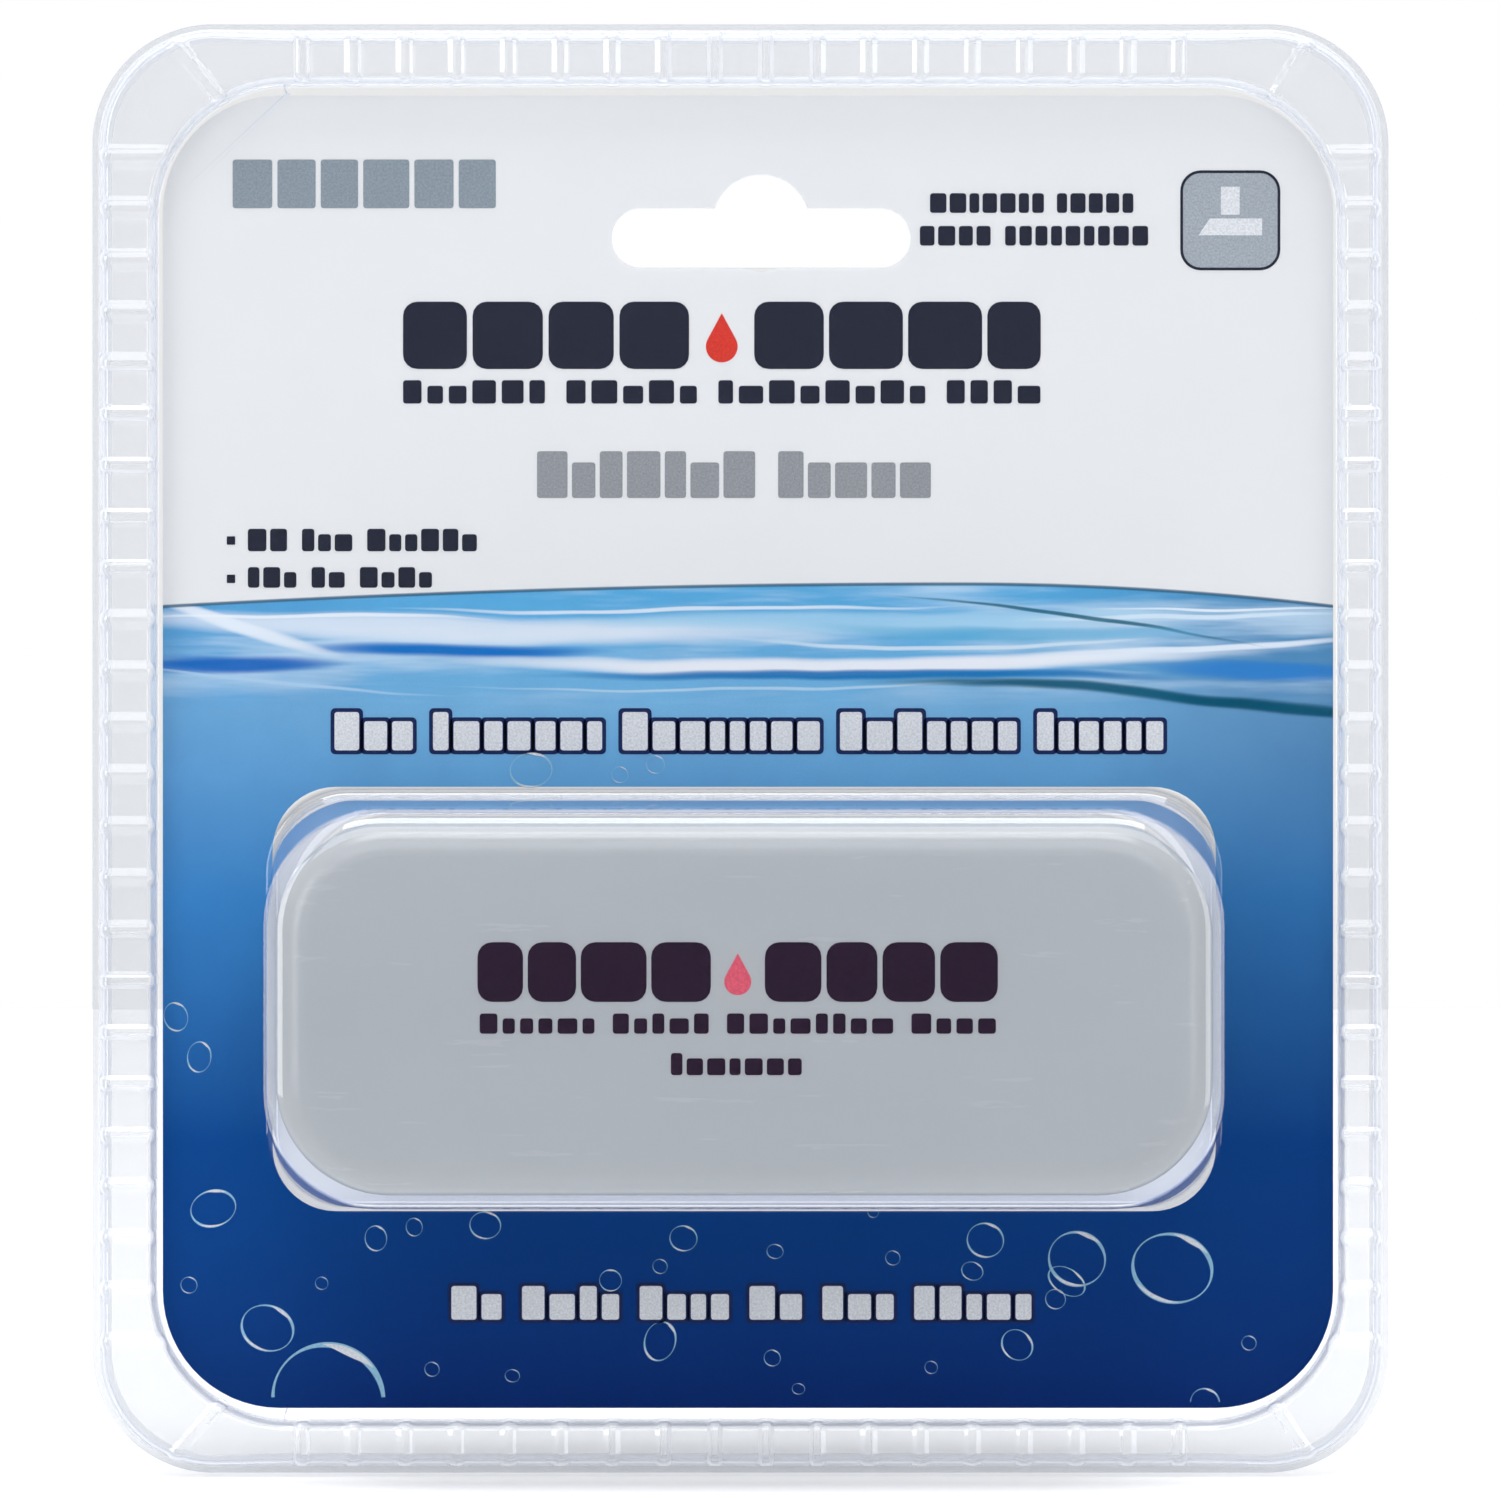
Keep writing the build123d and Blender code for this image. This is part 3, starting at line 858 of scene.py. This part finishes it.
def fill_window(item, loops):
    """Closes the flat window between the rim, the dome and the hang slot."""
    work = bmesh.new()
    work.from_mesh(item.data)
    work.verts.ensure_lookup_table()
    edges = []
    for loop in loops:
        for i, number in enumerate(loop):
            pair = (work.verts[number], work.verts[loop[(i + 1) % len(loop)]])
            edges.append(work.edges.get(pair) or work.edges.new(pair))
    made = bmesh.ops.triangle_fill(work, edges=edges, use_beauty=True)
    for face in made["geom"]:
        if isinstance(face, bmesh.types.BMFace):
            face.smooth = False
    bmesh.ops.recalc_face_normals(work, faces=work.faces[:])
    work.to_mesh(item.data)
    work.free()


def clear_tray(side, name, node):
    """One thermoformed tray as a thin sheet of real thickness."""
    shape = Shape()
    inner_edge = rim_rings(shape, side)
    dome_edge = dome_rings(shape, side)
    slot_edge = shape.add([(x, side * WINDOW_HEIGHT, z) for x, z in slot_outline()])
    item = shape.piece(name, node, MATERIALS["clear_sheet"], "clear_sheet")
    fill_window(item, [inner_edge, dome_edge, slot_edge])
    outwards = min(item.data.polygons, key=lambda face: side * -face.center.y)
    if outwards.normal.y * side < 0:
        item.data.flip_normals()
    modifier(item, "SOLIDIFY", thickness=SHEET, offset=-1.0)
    modifier(item, "EDGE_SPLIT", split_angle=math.radians(40))
    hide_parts(node)
    return item


clear_tray(FRONT, "front_tray", "front_shell")
clear_tray(BACK, "back_tray", "back_shell")


# ----------------------------------------------------------------------- print


def prism(shape, points, level, side, thickness=INK):
    """A flat patch of ink with its own small thickness."""
    lower = shape.add([(x, side * level, z) for x, z in points])
    upper = shape.add([(x, side * (level + thickness), z) for x, z in points])
    shape.faces.append(tuple(lower))
    shape.faces.append(tuple(reversed(upper)))
    shape.band(upper, lower)


def block(shape, left, right, low, high, level, side, corner=0.3 * MM):
    """One rounded block of ink."""
    corner = min(corner, (right - left) / 2.01, (high - low) / 2.01)
    points = outline((right - left, high - low, corner), 4, (1, 1), ((left + right) / 2, (low + high) / 2))
    prism(shape, points, level, side)


def greek_line(words, left, right, low, high, gap, capitals):
    """Blocks in place of a line of words: word lengths in, boxes (left, right, low, high) out.

    Capitals are all as tall as the line. Otherwise letters differ in height and in width.
    """
    letters = sum(words)
    space = 0.6
    widths = [random.uniform(0.78, 1.22) for _ in range(letters)]
    unit = (right - left) / (sum(widths) + space * (len(words) - 1))
    boxes = []
    x = left
    for word in words:
        for letter in range(word):
            tall = capitals or letter == 0 or random.random() < 0.3
            top = high if tall else low + (high - low) * 0.76
            wide = unit * widths.pop()
            boxes.append((x + unit * gap / 2, x + wide - unit * gap / 2, low, top))
            x += wide
        x += unit * space
    return boxes


def print_line(name, words, box, ink_name, level, side, body, halo, gap, capitals=False, corner=0.3 * MM):
    """A line of ink blocks, over a darker halo where it has one. Sizes are in millimetres."""
    left, right, low, high = [value * MM for value in box]
    boxes = greek_line(words, left, right, low, high, gap, capitals)
    if halo is not None:
        shape = Shape()
        width, halo_ink = halo
        for a, b, c, d in boxes:
            block(shape, a - width, b + width, c - width, d + width, level, side, 0.5 * MM)
        shape.piece(name + "_halo", body, INKS[halo_ink], "printed_card", smooth=False)
        level += INK
    shape = Shape()
    for a, b, c, d in boxes:
        block(shape, a, b, c, d, level + INK_GAP / 2, side, corner)
    return shape.piece(name, body, INKS[ink_name], "printed_card", smooth=False)


CARD_INK = -card_low.y + INK_GAP
FACE_INK = -FACE_Y + INK_GAP

CARD_LINES = [
    ("print_size", [6], (-54.6, -25.9, 57.8, 63.0), "ink_grey", None, 0.12),
    ("print_note_1", [7, 5], (20.1, 42.2, 57.3, 59.4), "ink_dark", None, 0.2),
    ("print_note_2", [4, 9], (19.0, 43.8, 53.8, 55.9), "ink_dark", None, 0.2),
    ("print_mark_left", [4], (-36.4, -5.2, 40.6, 47.8), "ink_dark", None, 0.08),
    ("print_mark_right", [4], (1.2, 32.4, 40.6, 47.8), "ink_dark", None, 0.08),
    ("print_mark_line", [6, 5, 8, 4], (-36.4, 32.4, 36.9, 39.4), "ink_dark", None, 0.22),
    ("print_title", [7, 5], (-22.0, 20.6, 26.8, 31.8), "ink_title", None, 0.14),
    ("print_fact_1", [2, 3, 6], (-52.9, -28.0, 21.1, 23.5), "ink_dark", None, 0.2),
    ("print_fact_2", [3, 2, 4], (-52.9, -32.8, 17.2, 19.4), "ink_dark", None, 0.2),
    ("print_tagline", [3, 7, 8, 7, 6], (-43.7, 45.5, -0.2, 3.9), "ink_white", (0.42 * MM, "ink_navy"), 0.2),
    ("print_foot_line", [2, 4, 4, 2, 3, 5], (-31.2, 31.4, -61.1, -57.5), "ink_white",
     (0.38 * MM, "ink_navy"), 0.2),
]
FACE_LINES = [
    ("face_mark_left", [4], (-27.5, -2.8, -26.3, -20.1), "ink_plum", None, 0.08),
    ("face_mark_right", [4], (2.3, 27.0, -26.3, -20.1), "ink_plum", None, 0.08),
    ("face_mark_line", [6, 5, 8, 4], (-27.3, 26.8, -29.6, -27.5), "ink_plum", None, 0.24),
    ("face_short_line", [7], (-7.4, 6.6, -33.9, -31.6), "ink_plum", None, 0.22),
]
MARK_LINES = ("print_mark_left", "print_mark_right", "face_mark_left", "face_mark_right")
CAPITAL_LINES = ("print_size", "print_note_1", "print_note_2", *MARK_LINES)
MARK_CORNER = 1.5 * MM
WORD_CORNER = 0.3 * MM


def print_lines(lines, level, body):
    """Prints lines on the front, each as name, words, box, ink, halo and gap. Marks get rounder blocks."""
    for name, words, box, ink_name, halo, gap in lines:
        corner = MARK_CORNER if name in MARK_LINES else WORD_CORNER
        capitals = name in CAPITAL_LINES
        print_line(name, words, box, ink_name, level, FRONT, body, halo, gap, capitals, corner)


print_lines(CARD_LINES, CARD_INK, "insert_card")
print_lines(FACE_LINES, FACE_INK, "handle_half")


def list_bullets():
    """The small square in front of each of the two list lines."""
    half = 0.45 * MM
    middle_x = -54.5 * MM
    shape = Shape()
    for middle_z in (22.25 * MM, 18.15 * MM):
        block(shape, middle_x - half, middle_x + half, middle_z - half, middle_z + half,
              CARD_INK + INK_GAP / 2, FRONT, 0.08 * MM)
    shape.piece("print_bullets", "insert_card", INKS["ink_dark"], "printed_card", smooth=False)


list_bullets()


def drop(name, x, z, radius, level, body, ink_name):
    """A plain water drop between the two words of a mark, in millimetres."""
    points = [(0.0, 2.1 * radius)]
    for step in range(25):
        angle = math.radians(150 + 240 * step / 24)
        points.append((radius * math.cos(angle), radius * math.sin(angle)))
    shape = Shape()
    prism(shape, [((x + a) * MM, (z + b) * MM) for a, b in points], level, FRONT)
    shape.piece(name, body, INKS[ink_name], "printed_card", smooth=False)


drop("print_drop", -2.0, 43.0, 1.7, CARD_INK, "insert_card", "ink_red")
drop("face_drop", -0.25, -24.2, 1.4, FACE_INK, "handle_half", "ink_rose")


def blade_pictogram():
    """A generic scraper blade in a rounded frame, top right on the card."""
    middle = (52.4 * MM, 56.5 * MM)
    frame_shape = Shape()
    prism(frame_shape, outline((10.7 * MM, 10.7 * MM, 2.2 * MM), 8, (1, 1), middle), CARD_INK, FRONT)
    frame_shape.piece("print_blade_frame", "insert_card", INKS["ink_dark"], "printed_card", smooth=False)
    field = Shape()
    prism(field, outline((10.1 * MM, 10.1 * MM, 1.9 * MM), 8, (1, 1), middle), CARD_INK + 1.2 * INK, FRONT)
    field.piece("print_blade_field", "insert_card", INKS["ink_picture"], "printed_card", smooth=False)
    blade = Shape()
    blade_points = [(-3.4, -1.6), (3.4, -1.6), (3.4, 0.2), (-2.2, 0.2)]
    handle_points = [(-1.0, 0.6), (1.0, 0.6), (1.0, 3.6), (-1.0, 3.6)]
    for points in (blade_points, handle_points):
        placed = [(middle[0] + x * MM, middle[1] + z * MM) for x, z in points]
        prism(blade, placed, CARD_INK + 2.4 * INK, FRONT)
    blade.piece("print_blade", "insert_card", INKS["ink_white"], "printed_card", smooth=False)


blade_pictogram()


def bubble(rings, glints, x, z, across, up, turn=0.0, first=0.0, last=360.0):
    """A ring of varying width with a bright crescent, in millimetres and degrees."""
    steps = max(24, int(20 * across))
    lean = math.radians(turn)

    def at(angle, scale):
        a = across * scale * math.cos(angle)
        b = up * scale * math.sin(angle)
        return (
            (x + a * math.cos(lean) - b * math.sin(lean)) * MM,
            (z + a * math.sin(lean) + b * math.cos(lean)) * MM,
        )

    def spans(start, end, count):
        """Neighbouring angles along an arc, each with its share of the arc."""
        marks = [(math.radians(start + (end - start) * i / count), i / count) for i in range(count + 1)]
        return zip(marks, marks[1:])

    for (a, _), (b, _) in spans(first, last, steps):
        thin_a = 1 - (0.05 + 0.05 * math.cos(2 * (a - math.radians(55))))
        thin_b = 1 - (0.05 + 0.05 * math.cos(2 * (b - math.radians(55))))
        prism(rings, [at(a, thin_a - 0.03), at(a, 1.0), at(b, 1.0), at(b, thin_b - 0.03)], CARD_INK, FRONT)
    for start, end, depth in ((35, 95, 0.13), (215, 285, 0.09)):
        if start < first or end > last:
            continue
        for (a, share_a), (b, share_b) in spans(start, end, 10):
            thick_a = 0.01 + depth * math.sin(math.pi * share_a)
            thick_b = 0.01 + depth * math.sin(math.pi * share_b)
            corners = [at(a, 0.97 - thick_a), at(a, 0.97), at(b, 0.97), at(b, 0.97 - thick_b)]
            prism(glints, corners, CARD_INK + 1.2 * INK, FRONT)


# Bubbles of the water picture, in millimetres: middle, half width, half height, lean.
BUBBLES = [
    (-60.4, -28.7, 1.3, 1.6, 10), (-57.9, -33.0, 1.3, 1.7, -10), (-56.4, -49.2, 2.5, 2.0, 20),
    (-50.6, -62.0, 2.9, 2.5, -15), (-39.0, -52.4, 1.2, 1.4, 0), (-27.3, -51.0, 1.7, 1.5, 0),
    (-8.6, -63.4, 1.7, 2.2, -20), (26.2, -52.6, 2.0, 1.9, 0), (36.0, -54.6, 3.1, 3.0, 0),
    (34.9, -57.0, 2.2, 1.4, -30), (46.2, -55.6, 4.4, 3.8, -8), (-12.9, -2.8, 0.9, 0.9, 0),
    (-9.1, -1.7, 1.0, 1.0, 0), (-22.4, -2.3, 2.3, 1.9, 10), (29.6, -63.8, 1.8, 1.6, -35),
    (33.7, -58.9, 1.1, 1.1, 0), (20.4, -66.2, 0.7, 0.7, 0), (14.2, -49.6, 0.6, 0.6, 0),
    (-33.0, -66.4, 0.8, 0.8, 0), (-44.8, -57.2, 0.7, 0.7, 0), (3.4, -65.2, 0.9, 0.9, 0),
    (54.4, -63.6, 0.8, 0.8, 0), (-59.0, -57.4, 0.9, 0.9, 0), (-6.1, -52.4, 1.5, 1.4, 0),
    (3.7, -53.8, 0.9, 0.8, 0), (-13.9, -56.9, 1.2, 1.2, 20), (-34.9, -51.2, 0.9, 1.0, 0),
    (16.3, -54.5, 0.8, 0.8, 0), (-24.4, -67.1, 0.8, 0.7, 0), (6.2, -68.5, 0.7, 0.6, 0),
    (24.8, -55.9, 1.2, 1.0, -15), (-8.6, -55.4, 0.8, 0.8, 0),
]


def bubbles():
    """All the bubbles as one print of rings and one of highlights."""
    rings = Shape()
    glints = Shape()
    for x, z, across, up, turn in BUBBLES:
        bubble(rings, glints, x, z, across, up, turn)
    bubble(rings, glints, -44.1, -69.6, 6.1, 6.1, 0.0, 2.0, 178.0)
    bubble(rings, glints, 49.7, -70.0, 1.6, 1.6, 0.0, 4.0, 176.0)
    rings.piece("print_bubbles", "insert_card", INKS["ink_pale"], "printed_card", smooth=False)
    glints.piece("print_bubble_glints", "insert_card", INKS["ink_white"], "printed_card", smooth=False)


bubbles()

REAR_INK = card_high.y + INK_GAP
for row in range(5):
    top = 38.0 - row * 5.2
    words = [5, 7, 3, 6, 4] if row % 2 else [3, 6, 8, 4, 5]
    print_line(f"rear_text_{row}", words, (-50.0, 50.0, top - 2.2, top), "ink_dark", REAR_INK, BACK,
               "insert_card", None, 0.22)


# --------------------------------------------------------------------- cleaner


def rounded_block(node, edge, grid, rough, layers=5):
    """A CAD slab redrawn as a dense mesh with rolled edges and an uneven skin."""
    low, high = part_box(node)
    width, height = high.x - low.x, high.z - low.z
    middle = ((low.x + high.x) / 2, (low.z + high.z) / 2)
    size = (width - 2 * rough, height - 2 * rough, 8.3 * MM)
    arc_steps = 10
    runs = (round(width / grid), round(height / grid))
    shape = Shape()

    def skin(x, y, z, amount):
        shake = [random.uniform(-amount, amount) for _ in range(3)]
        return x + shake[0], min(max(y + shake[1], low.y), high.y), z + shake[2]

    loops = []
    for layer in range(layers + 1):
        share = layer / layers
        y = low.y + rough + (high.y - low.y - 2 * rough) * share
        roll = edge * (1 - math.sqrt(max(0.0, 1 - (2 * share - 1) ** 2)) * 0.9)
        points = outline(inset(size, roll), arc_steps, runs, middle)
        loops.append(shape.add([skin(x, y, z, rough) for x, z in points]))
    for first, second in zip(loops, loops[1:]):
        shape.band(first, second)
    for loop, y in ((loops[0], low.y), (loops[-1], high.y)):
        inner = loop
        drawn = edge
        while drawn < height / 2 - 2 * grid:
            drawn += grid
            points = outline(inset(size, drawn), arc_steps, runs, middle)
            ring = shape.add([skin(x, y, z, rough * 0.9) for x, z in points])
            shape.band(inner, ring)
            inner = ring
        shape.faces.append(tuple(inner))
    return shape


def pads():
    """Felt on the dry side and a scrub pad on the wet side."""
    dry = rounded_block("handle_felt_pad", 0.35 * MM, 0.8 * MM, 0.06 * MM)
    felt_pad = dry.piece("felt_pad", "handle_half", MATERIALS["felt"], "felt")
    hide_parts("handle_felt_pad")
    wet = rounded_block("float_scrub_pad", 0.4 * MM, 0.7 * MM, 0.12 * MM)
    scrub_pad = wet.piece("scrub_pad", "float_half", MATERIALS["scrub_fibre"], "scrub_fibre")
    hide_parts("float_scrub_pad")


pads()


# ---------------------------------------------------------- carried-over nodes


def dress_nodes():
    """Gives every CAD node that stays its procedural material."""
    slots = {entry["node"]: entry["material_slot"] for entry in frame["record"]["subparts"]}
    for name, node in frame["nodes"].items():
        node.data.materials.clear()
        node.data.materials.append(MATERIALS[slots[name]])


dress_nodes()


# ---------------------------------------------------------------------- studio


class WorldNodes(Nodes):
    """The same calls, for the node tree of a world."""

    def __init__(self, world):
        world.use_nodes = True
        self.tree = world.node_tree
        self.tree.nodes.clear()


def studio_world():
    """White behind and above, softer beside; dim where the camera stands, so that flat sheets stay clear."""
    world = bpy.data.worlds.new("studio")
    n = WorldNodes(world)
    split = n.new("ShaderNodeSeparateXYZ")
    n.link(n.new("ShaderNodeTexCoord").outputs["Generated"], split.inputs[0])
    forward, upward = split.outputs[1], split.outputs[2]
    beside = n.span(upward, 0.15, 0.75, WORLD_SIDE, WORLD_BRIGHT, smooth=True)
    behind = n.span(forward, 0.05, 0.45, 0.0, WORLD_BRIGHT, smooth=True)
    share = n.span(forward, -0.92, -0.30, WORLD_DIM, 1.0, smooth=True)
    lit = n.new("ShaderNodeBackground")
    seen = n.new("ShaderNodeBackground")
    for background in (lit, seen):
        background.inputs["Color"].default_value = (1.0, 1.0, 1.0, 1.0)
    n.link(n.math("MULTIPLY", n.math("MAXIMUM", beside, behind), share), lit.inputs["Strength"])
    choice = n.new("ShaderNodeMixShader")
    n.link(n.new("ShaderNodeLightPath").outputs["Is Camera Ray"], choice.inputs[0])
    n.link(lit.outputs[0], choice.inputs[1])
    n.link(seen.outputs[0], choice.inputs[2])
    n.link(choice.outputs[0], n.new("ShaderNodeOutputWorld").inputs["Surface"])
    return world


def studio():
    """A pale floor, a white world and soft lamps above and beside the pack."""
    scene = bpy.context.scene
    scene.view_settings.view_transform = "Standard"
    scene.cycles.transparent_max_bounces = 24
    scene.world = studio_world()

    half = 1.6
    mesh = bpy.data.meshes.new("floor")
    level = cad_box[0].z - 0.3 * MM
    mesh.from_pydata([(-half, -half, level), (half, -half, level), (half, half, level), (-half, half, level)],
                     [], [(0, 1, 2, 3)])
    mesh.materials.append(floor_material())
    floor = bpy.data.objects.new("floor", mesh)
    scene.collection.objects.link(floor)
    floor.visible_glossy = False

    def lamp(name, place, size, power, aim=(0.0, 0.0, -0.02)):
        light = bpy.data.lights.new(name, "AREA")
        light.shape = "RECTANGLE"
        light.size, light.size_y = size
        light.energy = power
        item = bpy.data.objects.new(name, light)
        item.location = place
        direction = (aim[0] - place[0], aim[1] - place[1], aim[2] - place[2])
        item.rotation_mode = "QUATERNION"
        item.rotation_quaternion = Vector(direction).to_track_quat("-Z", "Y")
        scene.collection.objects.link(item)

    lamp("top_softbox", (0.0, -2.0, 1.40), (2.4, 1.2), TOP_POWER)
    lamp("overhead_softbox", (0.0, -0.55, 2.00), (1.8, 0.9), OVERHEAD_POWER)
    lamp("left_softbox", (-1.9, -1.8, 0.50), (1.0, 1.6), LEFT_POWER)
    lamp("right_softbox", (1.9, -1.8, 0.30), (0.9, 1.5), RIGHT_POWER)


def camera():
    """A long lens square to the card."""
    data = bpy.data.cameras.new("camera")
    data.lens = 200
    data.sensor_width = 36
    item = bpy.data.objects.new("camera", data)
    item.location = (1.02 * MM, -0.8917, -0.16 * MM)
    item.rotation_euler = (math.radians(90), 0, 0)
    bpy.context.scene.collection.objects.link(item)
    bpy.context.scene.camera = item


studio()
camera()

bpy.context.view_layer.update()
